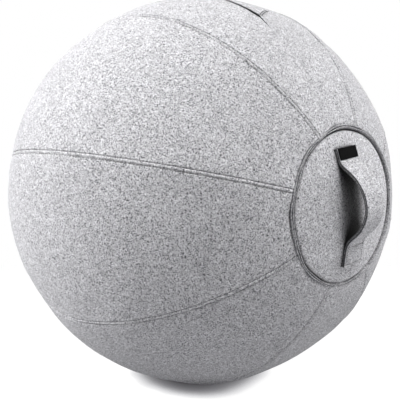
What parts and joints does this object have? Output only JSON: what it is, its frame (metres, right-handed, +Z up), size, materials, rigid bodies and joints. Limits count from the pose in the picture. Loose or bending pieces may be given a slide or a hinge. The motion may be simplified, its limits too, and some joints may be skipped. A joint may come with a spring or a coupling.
{
  "type": "balance ball chair",
  "caption": "Inflated seat ball in a sewn grey felt cover, with a round panel and strap handle on one side and a zip across the top.",
  "frame": {"origin": "middle of the flat patch that the ball stands on, at floor height", "axes": "+Z up, +X from the ball's centre through the middle of the panel with the handle"},
  "size_m": [0.6868, 0.65, 0.6464],
  "materials": {
    "felt_cover": "grey marled felt",
    "felt_panel": "grey marled felt",
    "felt_edge": "dark grey raised felt edge",
    "felt_strap": "grey marled felt, cut edges",
    "woven_tag": "black woven ribbon",
    "zip_tape": "dark woven tape",
    "zip_teeth": "moulded black plastic",
    "zip_metal": "dark plated zinc",
    "bladder": "soft grey vinyl",
    "valve_plug": "white soft plastic"
  },
  "bodies": {
    "ball": {"cover_gore_1": "felt_cover", "cover_gore_2": "felt_cover", "cover_gore_3": "felt_cover", "cover_gore_4": "felt_cover", "cover_gore_5": "felt_cover", "cover_gore_6": "felt_cover", "cover_gore_7": "felt_cover", "cover_gore_8": "felt_cover", "panel_handle_side": "felt_panel", "panel_far_side": "felt_panel", "piping_handle_side": "felt_edge", "piping_far_side": "felt_edge", "handle_tab_top_outer": "felt_strap", "handle_tab_top_lining": "felt_strap", "handle_tab_bottom_outer": "felt_strap", "handle_tab_bottom_lining": "felt_strap", "handle_tag": "woven_tag", "zip_tape_front": "zip_tape", "zip_tape_back": "zip_tape", "zip_teeth_front": "zip_teeth", "zip_teeth_back": "zip_teeth", "zip_near_stop": "zip_teeth", "zip_far_stop_front": "zip_teeth", "zip_far_stop_back": "zip_teeth", "bladder": "bladder", "valve_plug": "valve_plug"},
    "handle": {"handle_loop_outer": "felt_strap", "handle_loop_lining": "felt_strap"},
    "slider": {"zip_slider": "zip_metal"},
    "pull": {"zip_pull": "zip_metal"}
  },
  "joints": [
    {"name": "handle_swing", "type": "hinge", "parent": "ball", "child": "handle", "pos_m": [0.32, -0.00634, 0.32054], "axis": [0, -0.134, 0.991], "range_deg": [-12, 12], "stiffness_Nm_per_rad": 0.4},
    {"name": "zip_slide", "type": "hinge", "parent": "ball", "child": "slider", "pos_m": [0, 0, 0.3214], "axis": [0, 0.988, 0.1547], "range_deg": [0, 62.4], "deforming": ["zip_teeth_front", "zip_teeth_back"]},
    {"name": "pull_flip", "type": "hinge", "parent": "slider", "child": "pull", "pos_m": [-0.169, -0.04312, 0.59676], "axis": [0, -0.988, -0.1547], "range_deg": [0, 160]}
  ]
}
